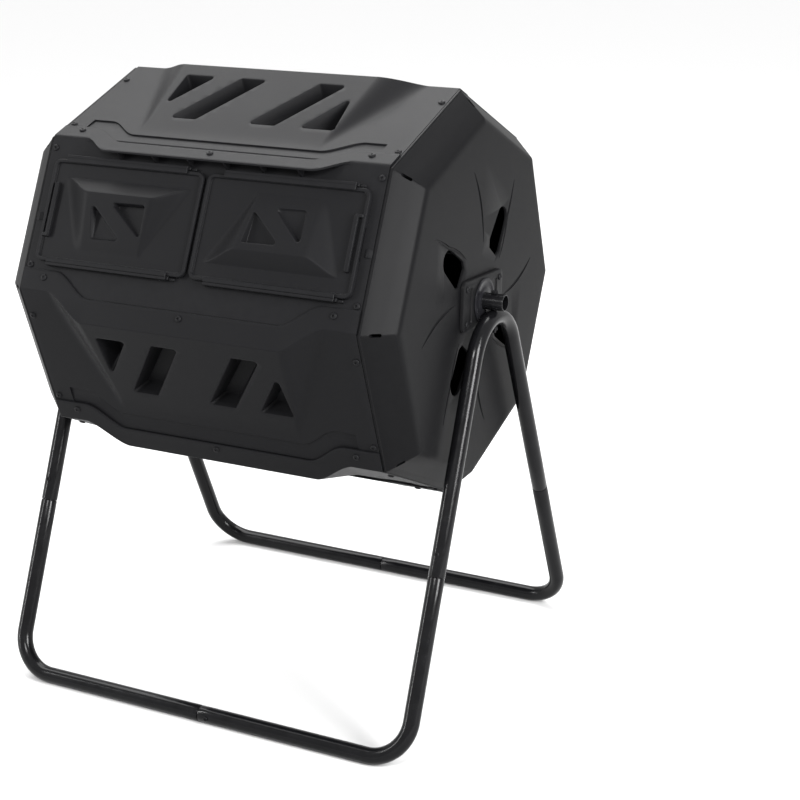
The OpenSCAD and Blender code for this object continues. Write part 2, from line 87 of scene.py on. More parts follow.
WASHER_LOW_X = mm_box("hub_washer_right")[0][0]
WASHER_HIGH_X = mm_box("hub_washer_right")[1][0]

# Louvred panels
WALL = 4.0
LAP = 35.0
STRIP = 3.0
FOLD_SHIFT = 36.0
RISE_END = 190.0
RIDGE = FOLD_SHIFT * FOLD
HOOD_REACH = 27.0
STEP_DEPTH = 2.6
STEP_REACH = 247.0
POCKET_TOP = 52.0
POCKET_BOTTOM = 155.0
POCKET_FLOOR = -19.0
POCKET_DRAFT = 6.2
CAP_SCREW_X = RIM_HALF - 12
CAP_ROWS = (43.0, 190.0)
DOOR_ROWS = (15.0, 193.0)
SEAM_SCREW_X = 242.0
SEAM_SCREW_BACK = 23.0
DIVIDER_SCREW_ON = 10.0
HUB_SCREW = (58.0, 26.0)

# Doors
DOOR_IN, DOOR_OUT = 2.8, 263.0
DOOR_TOP, DOOR_BOTTOM = 32.0, 186.0
DOOR_LIFT = 0.5
DOOR_UNDER = 2.5
DOOR_FIELD = 4.0
DOOR_RIM = 7.5
DOOR_RELIEF = 16.0
DOOR_CORNER = 12.0
CREST_S = 80.0
RAIL_IN, RAIL_OUT = 31.0, 240.0
RAIL_H = 10.6
RAIL_ROWS = (((26, 31.7), (29, 37)), ((186.3, 192.3), (181, 189)))
CATCH_X, CATCH_S, CATCH_H, CATCH_SIZE = 274.0, 120.0, 2.2, 12.0
DOOR_TRIANGLES = (
    [(-175, 95), (-171, 146), (-122, 145)],
    [(-143, 92), (-84, 91), (-89, 139)],
)
TRIANGLE_FLOOR = 4.6
GRIP_X, GRIP_FOOT_S, GRIP_BASE = -249.0, 147.0, 3.4
OPENING_X, OPENING_S = (20, 244), (48, 172)
HOOD_RIBS = (-150, -90, -30, 30, 90, 150)

# End caps
CAP_GROOVES = (((86, 81), (148, 89), (196, 96)), ((86, 33.5), (146, 46), (201, 51)))
SLOT_X, SLOT_ACROSS = (9, 22), (-2.5, 2.5)

# Frame
APEX_R = 74.0
FOOT_R = 62.0
JOINT_DISTANCE = 273.0
TUBE_WALL = 1.5
LEG_RISE = APEX_Z - APEX_R - BAR_Z
LEG_REACH = math.hypot(LEG_RISE, FOOT_SPREAD)
LEG_TILT = math.atan2(FOOT_SPREAD, LEG_RISE) - math.asin(APEX_R / LEG_REACH)
LEG_SCREW_UP = 33.0
TUBE_RIM = (0.9, 0.25, 0.0)
BAR_SCREW_X = 16.0


# ---------- Placing ----------

def smooth(t):
    t = np.clip(t, 0, 1)
    return t * t * (3 - 2 * t)


def side_axes(k):
    turn = math.radians(45 * k + 22.5) + REST_TURN
    outward = np.array([0, math.cos(turn), math.sin(turn)])
    back = np.array([0, -math.sin(turn), math.cos(turn)])
    return outward, back


def on_side(k, points):
    """Points (x, s, h) of side k, in the frame in millimetres."""
    outward, back = side_axes(k)
    points = np.asarray(points, float)
    x, s, h = points[..., 0:1], points[..., 1:2], points[..., 2:3]
    return AXLE + x * np.array([1, 0, 0]) + (APOTHEM + h) * outward + (s - SIDE / 2) * back


def from_strip(x, u, g):
    """A point on the strip plane, u past the leading corner and g above it, as (x, s, h)."""
    return np.stack([x, (u - g) * FOLD, (u + g) * FOLD], -1)


def on_drum(points):
    """Points drawn about the drum's axis with a corner straight up, at the drum's resting turn."""
    c, s = math.cos(REST_TURN), math.sin(REST_TURN)
    points = np.asarray(points, float)
    y, z = points[..., 1], points[..., 2]
    return AXLE + np.stack([points[..., 0], y * c - z * s, y * s + z * c], -1)


# ---------- Mesh makers ----------

def new_object(name, points, faces):
    mesh = bpy.data.meshes.new(name)
    mesh.from_pydata([tuple(p) for p in np.asarray(points) * MM], [], faces)
    mesh.validate()
    obj = bpy.data.objects.new(name, mesh)
    bpy.context.scene.collection.objects.link(obj)
    return obj


def shade(obj, angle=35):
    mesh = obj.data
    mesh.polygons.foreach_set("use_smooth", [True] * len(mesh.polygons))
    mesh.set_sharp_from_angle(angle=math.radians(angle))
    return obj


def outward_faces(obj):
    """Turns every face outward."""
    work = bmesh.new()
    work.from_mesh(obj.data)
    bmesh.ops.recalc_face_normals(work, faces=work.faces)
    work.to_mesh(obj.data)
    work.free()
    return obj


def grid_faces(nu, nv, start, flip=False):
    faces = []
    for i in range(nu - 1):
        a, b = start + i * nv, start + (i + 1) * nv
        for j in range(nv - 1):
            face = (a + j, b + j, b + j + 1, a + j + 1)
            faces.append(face[::-1] if flip else face)
    return faces


def closed_grid(name, top, bottom):
    """A solid between two matching grids of points."""
    nu, nv = top.shape[:2]
    count = nu * nv
    faces = grid_faces(nu, nv, 0, True) + grid_faces(nu, nv, count)
    ring = [(i, 0) for i in range(nu)] + [(nu - 1, j) for j in range(1, nv)]
    ring += [(i, nv - 1) for i in range(nu - 2, -1, -1)] + [(0, j) for j in range(nv - 2, 0, -1)]
    for (i, j), (p, q) in zip(ring, ring[1:] + ring[:1]):
        faces.append((i * nv + j, p * nv + q, count + p * nv + q, count + i * nv + j))
    points = np.concatenate([top.reshape(-1, 3), bottom.reshape(-1, 3)])
    return outward_faces(new_object(name, points, faces))


def loft(name, rings, closed=False):
    """A solid through matching closed rings: capped at both ends, or run back to the first ring."""
    rings = np.asarray(rings, float)
    count, size = rings.shape[:2]
    faces = []
    for i in range(count if closed else count - 1):
        a, b = i * size, (i + 1) % count * size
        for j in range(size):
            k = (j + 1) % size
            faces.append((a + j, a + k, b + k, b + j))
    if not closed:
        faces.append(tuple(range(size))[::-1])
        faces.append(tuple((count - 1) * size + j for j in range(size)))
    return outward_faces(new_object(name, rings.reshape(-1, 3), faces))


def taken_apart(obj):
    """The points in millimetres and the faces of an object, which is removed."""
    mesh = obj.data
    co = np.empty(len(mesh.vertices) * 3)
    mesh.vertices.foreach_get("co", co)
    faces = [tuple(p.vertices) for p in mesh.polygons]
    bpy.data.objects.remove(obj)
    return co.reshape(-1, 3) / MM, faces


def join(name, parts):
    """One object from several, with their places kept."""
    points, faces, start = [], [], 0
    for part in parts:
        part_points, part_faces = taken_apart(part)
        points.append(part_points)
        faces += [tuple(v + start for v in face) for face in part_faces]
        start += len(part_points)
    return new_object(name, np.concatenate(points), faces)


def carve(obj, cutters):
    """Cuts the cutters out of obj and removes them."""
    for cutter in cutters:
        cut = obj.modifiers.new("cut", "BOOLEAN")
        cut.operation, cut.solver, cut.object = "DIFFERENCE", "EXACT", cutter
    bpy.context.view_layer.update()
    graph = bpy.context.evaluated_depsgraph_get()
    mesh = bpy.data.meshes.new_from_object(obj.evaluated_get(graph))
    obj.modifiers.clear()
    obj.data = mesh
    for cutter in cutters:
        bpy.data.objects.remove(cutter)
    return obj


def rounded(points, radius, offset=0.0, steps=5):
    """A convex outline with arcs of one radius at its corners, grown by offset."""
    points = [np.array(p, float) for p in points]
    area = sum(a[0] * b[1] - a[1] * b[0] for a, b in zip(points, points[1:] + points[:1]))
    if area < 0:
        points = points[::-1]
    outline = []
    count = len(points)
    for i in range(count):
        before, here, after = points[i - 1], points[i], points[(i + 1) % count]
        d0 = (here - before) / np.linalg.norm(here - before)
        d1 = (after - here) / np.linalg.norm(after - here)
        turn = math.acos(np.clip(d0 @ d1, -1, 1))
        n0, n1 = np.array([d0[1], -d0[0]]), np.array([d1[1], -d1[0]])
        middle = (n0 + n1) / np.linalg.norm(n0 + n1)
        centre = here - middle * radius / math.cos(turn / 2)
        start = math.atan2(n0[1], n0[0])
        for step in range(steps + 1):
            angle = start + turn * step / steps
            outline.append(centre + (radius + offset) * np.array([math.cos(angle), math.sin(angle)]))
    return np.array(outline)


def rectangle(a0, a1, b0, b1):
    return [(a0, b0), (a1, b0), (a1, b1), (a0, b1)]


def at_level(line, level, place=2):
    """A flat outline as points, with the level as the coordinate in the given place."""
    return np.insert(line, place, level, axis=1)


def layered(points, radius, layers, steps=5, place=2):
    """Rings of one rounded outline, from (growth, level) pairs."""
    return [at_level(rounded(points, radius, grow, steps), level, place) for grow, level in layers]


def lathe(name, profile, direction, segments=64):
    """A solid turned about the axle from closed profile points (x, radius)."""
    angles = np.arange(segments) * 2 * math.pi / segments
    rings = [
        [(direction * x, r * math.cos(angle), r * math.sin(angle)) for x, r in profile]
        for angle in angles
    ]
    points = on_drum(np.array(rings))
    return loft(name, points, closed=True)


def along(path):
    """Directions along a path of points."""
    path = np.asarray(path, float)
    step = np.gradient(path, axis=0)
    return step / np.linalg.norm(step, axis=1)[:, None]


def pipe(name, path, radii, bore, segments=40, reference=(1, 0.02, 0.01)):
    """A hollow tube along a path, with one outer radius a point."""
    path = np.asarray(path, float)
    forward = along(path)
    across = np.cross(forward, np.array(reference, float))
    if min(np.linalg.norm(across, axis=1)) < 0.2:
        across = np.cross(forward, np.array([0.01, 0.02, 1.0]))
    # carry one side direction along the path so that the rings don't twist
    side = across[0] / np.linalg.norm(across[0])
    sides = []
    for direction in forward:
        side = side - (side @ direction) * direction
        side = side / np.linalg.norm(side)
        sides.append(side)
    sides = np.array(sides)
    ups = np.cross(forward, sides)
    angles = np.arange(segments) * 2 * math.pi / segments

    def ring(i, radius):
        return path[i] + radius * (np.cos(angles)[:, None] * sides[i] + np.sin(angles)[:, None] * ups[i])

    rings = [ring(i, radii[i]) for i in range(len(path))]
    rings += [ring(i, bore) for i in range(len(path) - 1, -1, -1)]
    return loft(name, rings, closed=True)


# ---------- Materials ----------

class Finish:
    """One material, with short ways to add the nodes that the finishes share."""

    def __init__(self, name):
        self.material = bpy.data.materials.new(name)
        self.material.use_nodes = True
        tree = self.material.node_tree
        self.nodes, self.links = tree.nodes, tree.links
        self.shader = tree.nodes["Principled BSDF"]
        self.place = self.new("TexCoord")

    def new(self, kind, **values):
        node = self.nodes.new("ShaderNode" + kind)
        for name, value in values.items():
            node.inputs[name.replace("_", " ")].default_value = value
        return node

    def noise(self, scale, detail, roughness=0.5):
        node = self.new("TexNoise", Scale=scale, Detail=detail, Roughness=roughness)
        self.links.new(self.place.outputs["Object"], node.inputs["Vector"])
        return node.outputs["Fac"]

    def ramp(self, source, low, high, first, last):
        node = self.new("MapRange", From_Min=low, From_Max=high, To_Min=first, To_Max=last)
        self.links.new(source, node.inputs["Value"])
        return node.outputs["Result"]

    def mix(self, factor, first, second):
        node = self.new("Mix")
        node.data_type = "RGBA"
        self.links.new(factor, node.inputs["Factor"])
        for socket, value in (("A", first), ("B", second)):
            target = [i for i in node.inputs if i.name == socket and i.type == "RGBA"][0]
            if isinstance(value, tuple):
                target.default_value = value
            else:
                self.links.new(value, target)
        return [o for o in node.outputs if o.type == "RGBA"][0]

    def maths(self, operation, first, second):
        node = self.new("Math")
        node.operation = operation
        self.links.new(first, node.inputs[0])
        self.links.new(second, node.inputs[1])
        return node.outputs[0]

    def bump(self, height, strength, distance, under=None):
        node = self.new("Bump", Strength=strength, Distance=distance)
        self.links.new(height, node.inputs["Height"])
        if under:
            self.links.new(under, node.inputs["Normal"])
        return node.outputs["Normal"]

    def connect(self, source, name):
        self.links.new(source, self.shader.inputs[name])


def tinted(colour, times, more=0.0):
    return tuple(c * times + more for c in colour) + (1.0,)


def moulded_plastic(name, colour, rough, grain=0.3, edge_wear_and_highlight=0.2):
    """Moulded plastic: fine spark-eroded grain, faint flow marks, lighter edges that are partly rubbed wear
    and partly a painted edge highlight, and a little dust.
    """
    finish = Finish(name)
    cloudy, mottled = finish.noise(9.0, 4.0), finish.noise(70.0, 6.0, 0.65)
    grains, dust = finish.noise(1500.0, 3.0, 0.6), finish.noise(420.0, 8.0, 0.75)
    flow = finish.ramp(cloudy, 0.3, 0.7, 0.0, 1.0)
    base = finish.mix(flow, tinted(colour, 0.97), tinted(colour, 1.03))
    # sharp edges are painted lighter: partly rubbed wear, partly a painted highlight along the edges
    edge = finish.ramp(finish.new("NewGeometry").outputs["Pointiness"], 0.505, 0.56, 0.0, edge_wear_and_highlight)
    broken = finish.maths("MULTIPLY", edge, finish.ramp(mottled, 0.38, 0.6, 0.25, 1.0))
    base = finish.mix(broken, base, tinted(colour, 1.5, 0.002))
    base = finish.mix(finish.ramp(dust, 0.62, 0.8, 0.0, 0.5), base, tinted(colour, 1.2, 0.002))
    finish.connect(base, "Base Color")
    wide = finish.ramp(cloudy, 0.3, 0.7, rough - 0.01, rough + 0.01)
    close = finish.ramp(mottled, 0.3, 0.7, -0.01, 0.01)
    finish.connect(finish.maths("ADD", wide, close), "Roughness")
    finish.shader.inputs["Specular IOR Level"].default_value = 0.05
    coarse = finish.bump(cloudy, 0.03, 0.0006)
    finish.connect(finish.bump(grains, grain, 0.00022, coarse), "Normal")
    return finish.material


def gloss_coat(name, colour, rough, specular):
    """Powder-coated or blackened steel: gloss with a faint orange peel and fine handling marks."""
    finish = Finish(name)
    peel, marks = finish.noise(380.0, 2.0), finish.noise(45.0, 7.0, 0.7)
    tint = finish.new("ValToRGB")
    for element, position, times in zip(tint.color_ramp.elements, (0.35, 0.7), (0.8, 1.3)):
        element.position = position
        element.color = tinted(colour, times)
    finish.links.new(marks, tint.inputs["Fac"])
    finish.connect(tint.outputs["Color"], "Base Color")
    finish.connect(finish.ramp(marks, 0.3, 0.75, rough, rough + 0.14), "Roughness")
    finish.shader.inputs["Specular IOR Level"].default_value = specular
    finish.connect(finish.bump(peel, 0.06, 0.0003), "Normal")
    return finish.material


PANEL_PLASTIC = moulded_plastic("panel_plastic", (0.0048, 0.0048, 0.0053), 0.46)
# painted shade: the end caps get a darker colour than the panel plastic, so that their faces look more
# shaded than the panels
SHADED_CAP_PLASTIC = moulded_plastic("cap_plastic", (0.0026, 0.0026, 0.0029), 0.44)
DOOR_PLASTIC = moulded_plastic("door_plastic", (0.0048, 0.0048, 0.0053), 0.44)
INNER_PLASTIC = moulded_plastic("inner_plastic", (0.0045, 0.0045, 0.0048), 0.6, edge_wear_and_highlight=0.3)
HUB_PLASTIC = moulded_plastic("hub_plastic", (0.0045, 0.0045, 0.0048), 0.42)
BEARING_PLASTIC = moulded_plastic("bearing_plastic", (0.006, 0.006, 0.007), 0.25, grain=0.1)
FRAME_PAINT = gloss_coat("frame_paint", (0.003, 0.003, 0.0034), 0.12, 0.13)
SCREW_FINISH = gloss_coat("screw_finish", (0.004, 0.004, 0.0045), 0.42, 0.08)


def finish_piece(obj, body, material, slot, *nodes, angle=35):
    shade(obj, angle)
    obj.data.materials.clear()
    obj.data.materials.append(material)
    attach(obj, body)
    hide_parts(*nodes)
    return obj


# ---------- Louvred panels ----------

def seam_line(x):
    """How far the strip's leading edge lies past the corner."""
    return -LAP * smooth((np.abs(x) - 158) / 66)


def rise_share(x, s):
    """1 on the raised middle of a panel, 0 near its ends."""
    inner = 168 - 0.1 * s
    outer = 229 - 0.4 * s
    t = np.clip((np.abs(x) - inner) / (outer - inner), 0, 1)
    return 1 - (0.7 * smooth(t) + 0.3 * t)


def rise_height(x, s):
    return rise_share(x, s) * np.clip(wedge_height(s), 0, None)


def strip_level(x, u):
    """How far the strip stands off the corner's plane: it sinks to nothing at the middle's fold."""
    middle = 1 - smooth((np.abs(x) - 158) / 66)
    return STRIP * (1 - middle * np.clip(u / FOLD_SHIFT, 0, 1))


def fold_point(x):
    """How far up the strip its top meets the panel, at each x."""
    low, high = np.full_like(x, -STRIP), np.full_like(x, FOLD_SHIFT + 4)
    for _ in range(40):
        u = (low + high) / 2
        level = strip_level(x, u)
        above = rise_height(x, (u - level) * FOLD) > (u + level) * FOLD
        low, high = np.where(above, u, low), np.where(above, high, u)
    return (low + high) / 2


def across_x(reach):
    """Places along the axle: close together where the wavy lines run, wider apart elsewhere."""
    wave = np.arange(144, 237, 2.5)
    outer = np.linspace(240, reach, 6)
    half = np.concatenate([np.arange(12, 143, 12), wave, outer])
    return np.concatenate([-half[::-1], [0.0], half])


def soften(profile, first, rounds):
    """Rounds the folds of profile lines (x, point, coordinate), leaving the points before first."""
    for _ in range(rounds):
        middle = (profile[:, :-2] + 2 * profile[:, 1:-1] + profile[:, 2:]) / 4
        profile[:, first:-1] = middle[:, first - 1:]
    return profile


def strip_edge(x, u):
    """The strip's rounded leading edge, from its foot to its top."""
    steps = [(0.0, 0.25), (0.0, 1.9), (0.35, 2.6), (1.1, STRIP)]
    return [from_strip(x, u + du, np.full_like(x, g)) for du, g in steps]


def panel_grid(reach):
    """Matching grids over the outside and the inside of a louvred panel."""
    x = across_x(reach)
    fold_u = fold_point(x)
    start = seam_line(x)
    rows = strip_edge(x, start)
    inner = [from_strip(x, start + du, np.full_like(x, 0.2)) for du in (0, 0.3, 0.7, 1.1)]
    run = start + 1.1
    for part in np.concatenate([np.linspace(0.1, 0.9, 9), [0.93, 0.96, 0.98, 1.0]]):
        u = run + (fold_u - run) * part
        rows.append(from_strip(x, u, strip_level(x, u)))
        inner.append(from_strip(x, u, 0.2 - np.clip(u + 1, 0, None) * 1.1))
    fold_s, inner_fold = rows[-1][:, 1], inner[-1][:, 1]
    scale = (SIDE - fold_s) / 190.0
    last = SIDE - 0.6
    ahead = [0.6, 1.3, 2.2, 3.4, 5, 7.5, 11, 15]
    for step in np.concatenate([ahead, np.linspace(20, 150, 18), np.linspace(155, 189.6, 9)]):
        s = np.minimum(fold_s + step * (scale if step > 15 else 1), last)
        rows.append(np.stack([x, s, rise_height(x, s)], -1))
        share = (s - fold_s) / (last - fold_s)
        inner.append(np.stack([x, inner_fold + (last - inner_fold) * share, np.full_like(x, -WALL)], -1))
    return soften(np.stack(rows, 1), 5, 2), np.stack(inner, 1)


def pocket_shapes():
    """Outlines of the slanted pockets: a triangle, two leaning boxes and a triangle."""
    top, bottom, slant = POCKET_TOP, POCKET_BOTTOM, 70.0
    shapes = [[(-148, top), (-97, top), (-148, 126)], [(99, bottom), (154, bottom), (148, 79)]]
    for left in (-51, 83):
        right = left + 44
        shapes.append([(left, top), (right, top), (right - slant, bottom), (left - slant, bottom)])
    return shapes


def inset(points, inward):
    """A convex outline with every edge moved inward."""
    points = [np.array(p, float) for p in points]
    area = sum(a[0] * b[1] - a[1] * b[0] for a, b in zip(points, points[1:] + points[:1]))
    if area < 0:
        points = points[::-1]
    corners = []
    for before, here, after in zip(points[-1:] + points[:-1], points, points[1:] + points[:1]):
        d0 = (here - before) / np.linalg.norm(here - before)
        d1 = (after - here) / np.linalg.norm(after - here)
        n0, n1 = np.array([-d0[1], d0[0]]), np.array([-d1[1], d1[0]])
        corners.append(here + (n0 + n1) * inward / (1 + n0 @ n1))
    return corners


def wedge_height(s):
    return RIDGE * (RISE_END - s) / (RISE_END - RIDGE)


def pocket_walls(points):
    """The pocket's own wall as rings: from its softened rim down to its floor."""
    rings = []
    for offset, depth in ((1.3, -0.01), (0.6, 0.25), (0.15, 0.8), (0.0, 1.6)):
        line = rounded(points, 4.0, offset)
        rings.append(np.column_stack([line, wedge_height(line[:, 1]) - depth]))
    upper = rings[-1]
    lower = at_level(rounded(inset(points, POCKET_DRAFT), 3.0), POCKET_FLOOR + 1.5)
    share = ((upper[:, 2] + WALL - 0.6) / (upper[:, 2] - lower[:, 2]))[:, None]
    rings.append(upper + (lower - upper) * share)
    rings.append(lower)
    rings.append(at_level(rounded(inset(points, POCKET_DRAFT + 1.2), 2.0), POCKET_FLOOR))
    return rings


def pocket_cutter(points):
    wide = rounded(points, 4.0, 1.7)
    above = np.column_stack([wide, wedge_height(wide[:, 1]) + 6])
    return loft("cutter", on_side(0, [above] + pocket_walls(points)))


def pocket_tub(points):
    """The part of a pocket that hangs inside the drum, as a cup under the panel."""
    bottom = at_level(rounded(inset(points, POCKET_DRAFT - 2.0), 3.0), POCKET_FLOOR - 2.5)
    top = at_level(rounded(inset(points, 0.8), 4.0), 0.8 - WALL)
    return loft("tub", on_side(0, [bottom, top] + pocket_walls(points)[4:]))


def step_line(x):
    """Where the panel steps down for the next panel's strip."""
    return 205 - 33 * smooth((np.abs(x) - 155) / 60)


def step_cutter():
    """Room for the next panel's strip: a step down that ramps up again to the trailing edge."""
    half = np.concatenate([np.linspace(0, 145, 6), np.arange(150, 221, 3.5), [230, STEP_REACH]])
    x = np.concatenate([-half[:0:-1], half])
    line = step_line(x)
    riser = ((-0.7, 0.02), (-0.1, -0.5), (0.25, 0.35 - STEP_DEPTH), (0.9, -STEP_DEPTH))
    rows = [(line + ds, h) for ds, h in riser]
    for share in (0.25, 0.5, 0.75, 1.0):
        rows.append((line + 0.9 + (SIDE + 3 - line) * share, -STEP_DEPTH + (STEP_DEPTH - 0.15) * share))
    floor_rows = [np.stack([x, s, np.full_like(x, h)], -1) for s, h in rows]
    lid_rows = [np.stack([x, s, np.full_like(x, 6.0)], -1) for s, _ in rows]
    return closed_grid("cutter", on_side(0, np.stack(lid_rows, 1)), on_side(0, np.stack(floor_rows, 1)))


def louvred_panel():
    top, bottom = panel_grid(PANEL_HALF)
    panel = closed_grid("louvred_panel", on_side(0, top), on_side(0, bottom))
    carve(panel, [pocket_cutter(shape) for shape in pocket_shapes()] + [step_cutter()])
    return join("louvred_panel", [panel] + [pocket_tub(shape) for shape in pocket_shapes()])


def turned(mesh, name, angle, axis, about):
    """A new object with its own copy of the mesh, turned about an axis through a point in metres."""
    shift = Matrix.Translation(Vector(about))
    copy = mesh.copy()
    copy.transform(shift @ Matrix.Rotation(angle, 4, axis) @ shift.inverted())
    obj = bpy.data.objects.new(name, copy)
    bpy.context.scene.collection.objects.link(obj)
    return obj


def side_panels():
    first = louvred_panel()
    mesh = first.data
    bpy.data.objects.remove(first)
    for number, k in enumerate((4, 5, 6, 7, 8, 1, 2), start=1):
        panel = turned(mesh, f"louvred_panel_{number}", math.radians(45 * k), "X", AXLE * MM)
        finish_piece(panel, "drum", PANEL_PLASTIC, "panel_plastic", f"side_panel_{number}")


# ---------- Door panel, rails and doors ----------

def box_solid(x0, x1, s0, s1, h0, h1, r=1.0):
    """A bar with rounded long edges on the door side."""
    trim = r * 0.7
    layers = ((-trim, x0), (0.0, x0 + trim), (0.0, x1 - trim), (-trim, x1))
    return loft("bar", on_side(DOOR_SIDE, layered(rectangle(s0, s1, h0, h1), r, layers, 3, 0)))


def hood_line(x):
    back = smooth((np.abs(x) - 170) / 54)
    return HOOD_REACH * (1 - back) - 3.0 * back


def hood():
    x = across_x(PANEL_HALF)
    start, end = seam_line(x), hood_line(x)
    end = np.maximum(end, start + 3)
    rows = strip_edge(x, start)
    under = [from_strip(x, start + du, np.full_like(x, 0.2)) for du in (0, 0.3, 0.7, 1.1)]
    for part in np.linspace(0, 1, 9)[1:]:
        u = start + 1.1 + (end - start - 2.2) * part
        rows.append(from_strip(x, u, np.full_like(x, STRIP)))
        under.append(from_strip(x, u, np.full_like(x, 0.2)))
    for du, g in ((0.75, 2.6), (1.1, 1.9)):
        rows.append(from_strip(x, end - 1.1 + du, np.full_like(x, g)))
        under.append(from_strip(x, end - 1.1 + du, np.full_like(x, 0.2)))
    top, bottom = np.stack(rows, 1), np.stack(under, 1)
    return closed_grid("hood", on_side(DOOR_SIDE, top), on_side(DOOR_SIDE, bottom))


def door_panel():
    x = np.array([-PANEL_HALF, -200, -100, 0, 100, 200, PANEL_HALF])
    s = np.array([-4.2, -3.0, 0.0, 60, 120, 180, SIDE - 0.6])
    grid = np.stack(np.meshgrid(x, s, indexing="ij"), -1)
    lift = np.where(grid[..., 1:] < -4, -0.6, 0.0)
    top = np.concatenate([grid, lift], -1)
    bottom = np.concatenate([grid, np.full_like(lift, -WALL)], -1)
    bottom[..., 1] = np.maximum(bottom[..., 1], 0)
    plate = closed_grid("plate", on_side(DOOR_SIDE, top), on_side(DOOR_SIDE, bottom))
    cutters = []
    layers = ((1.6, 1.0), (1.6, -0.01), (0.5, -0.4), (0.0, -1.4), (0.0, -WALL - 1))
    for sign in (-1, 1):
        corners = rectangle(*[sign * x_end for x_end in OPENING_X], *OPENING_S)
        cutters.append(loft("cutter", on_side(DOOR_SIDE, layered(corners, 10, layers, 8))))
    carve(plate, cutters)
    parts = [plate, hood()]
    reach = (HOOD_REACH - 0.5) * FOLD
    profile = [(-1.5, -0.5), (25.5, -0.5), (25.5, 2.0), (reach, reach - 0.2), (reach - 1.5, reach - 0.2)]
    for rib_x in HOOD_RIBS:
        rings = [at_level(np.array(profile), rib_x + side, 0) for side in (-1.0, 1.0)]
        parts.append(loft("rib", on_side(DOOR_SIDE, rings)))
    for sign in (-1, 1):
        rings = []
        for x_end in np.linspace(198, 222, 9):
            reach = max(hood_line(x_end) - 0.9, 0.4) * FOLD
            corners = [(-0.6, -0.6), (reach, -0.6), (reach, reach + 0.3)]
            rings.append(at_level(np.array(corners), sign * x_end, 0))
        parts.append(loft("hood_end", on_side(DOOR_SIDE, rings)))
    parts += rails()
    piece = join("door_panel_moulding", parts)
    finish_piece(piece, "drum", PANEL_PLASTIC, "door_panel_plastic", "door_panel", angle=30)


def rails():
    """Two rails a door, each a foot with a lip over the door's edge, stop blocks, and a catch."""
    parts = []
    size = CATCH_SIZE
    bump = [(0, -1), (size, -1), (size, 0.3), (6.5, CATCH_H), (5.5, CATCH_H), (0, 0.3)]
    ramp = np.array(bump) - [size / 2, 0]
    for sign in (-1, 1):
        x0, x1 = sorted((sign * RAIL_IN, sign * RAIL_OUT))
        for foot, lip in RAIL_ROWS:
            parts.append(box_solid(x0, x1, *foot, -1, RAIL_H, 0.9))
            parts.append(box_solid(x0, x1, *lip, 8.2, RAIL_H, 0.8))
            parts.append(box_solid(x1, x1 + 3.0, foot[0], foot[0] + 5.2, -1, 7.5, 0.8))
            parts.append(box_solid(x1 + 3.2, x1 + 12, foot[0] + 1.6, foot[0] + 5.0, -1, 4.5, 0.8))
        rings = []
        for across, share in ((-6, 0.85), (-5, 1.0), (5, 1.0), (6, 0.85)):
            rings.append(at_level(ramp * share + [sign * CATCH_X, 0], CATCH_S + across, 1))
        parts.append(loft("catch", on_side(DOOR_SIDE, rings)))
    return parts


def door_relief(x, s):
    """Height of the left door's bulge over its field: a sloping shelf that meets the body of the
    bulge along a crest, which bends down to the field at both ends."""
    shelf = (s - 58) * DOOR_RELIEF / (CREST_S - 58)
    inner, outer = -184 - 0.03 * (s - CREST_S), -241 + 0.38 * (s - 57)
    left = 1 - smooth((inner - x) / np.maximum(inner - outer, 4))
    inner, outer = -78 - 0.12 * (s - CREST_S), -17 - 0.66 * (s - 57)
    right = 1 - smooth((x - inner) / np.maximum(outer - inner, 4))
    body = DOOR_RELIEF * np.clip((165 - s) / (165 - CREST_S), 0, 1.3) * left * right
    blend = (shelf + body - np.sqrt((shelf - body) ** 2 + 1.0)) / 2
    return np.clip(blend, 0, None)


def door_surface(x, s):
    return DOOR_FIELD + door_relief(x, s)


def door_grid_s():
    """Rows of the left door: close together on the shelf and the crest."""
    first, last = DOOR_TOP + 5.5, DOOR_BOTTOM - 5.5
    rows = [first, 45, 51, last] + list(np.arange(55, 86, 0.9)) + list(np.arange(87, 176, 2.4))
    return np.array(sorted(rows))


def door_grid_x():
    return np.linspace(5.5 - DOOR_OUT, -DOOR_IN - 5.5, 125)


def triangle_cutter(points):
    rings = []
    for offset, above in ((1.9, 5.0), (1.5, 0.05), (0.5, -0.35), (0.0, -1.3)):
        line = rounded(points, 3.4, offset)
        rings.append(np.column_stack([line, door_surface(line[:, 0], line[:, 1]) + above]))
    for inward, above in ((1.2, 0.8), (1.7, 0.2), (2.6, 0.0)):
        rings.append(at_level(rounded(inset(points, inward), 2.6), TRIANGLE_FLOOR + above))
    return loft("cutter", on_side(DOOR_SIDE, rings))


def grip_bar():
    """The upright grip near a door's outer edge, with a foot turned towards the edge."""
    rings = []
    for s, half, top in (
        (67.5, 1.4, 6), (68.5, 2.7, 9.0), (71, 3.4, 10.0), (141, 3.4, 10.0),
        (147, 3.3, 9.6), (149.5, 2.6, 8.5), (150.5, 1.4, 6),
    ):
        corners = rectangle(GRIP_X - half, GRIP_X + half, GRIP_BASE, top)
        rings.append(at_level(rounded(corners, 1.2, 0, 4), s, 1))
    bar = loft("grip", on_side(DOOR_SIDE, rings))
    rings = []
    for x, half, top in ((GRIP_X - 10, 1.4, 8.2), (GRIP_X - 9, 2.4, 9.0), (GRIP_X, 2.6, 9.4)):
        corners = rectangle(GRIP_FOOT_S - half, GRIP_FOOT_S + half, GRIP_BASE, top)
        rings.append(at_level(rounded(corners, 0.9, 0, 4), x, 0))
    return [bar, loft("grip_foot", on_side(DOOR_SIDE, rings))]


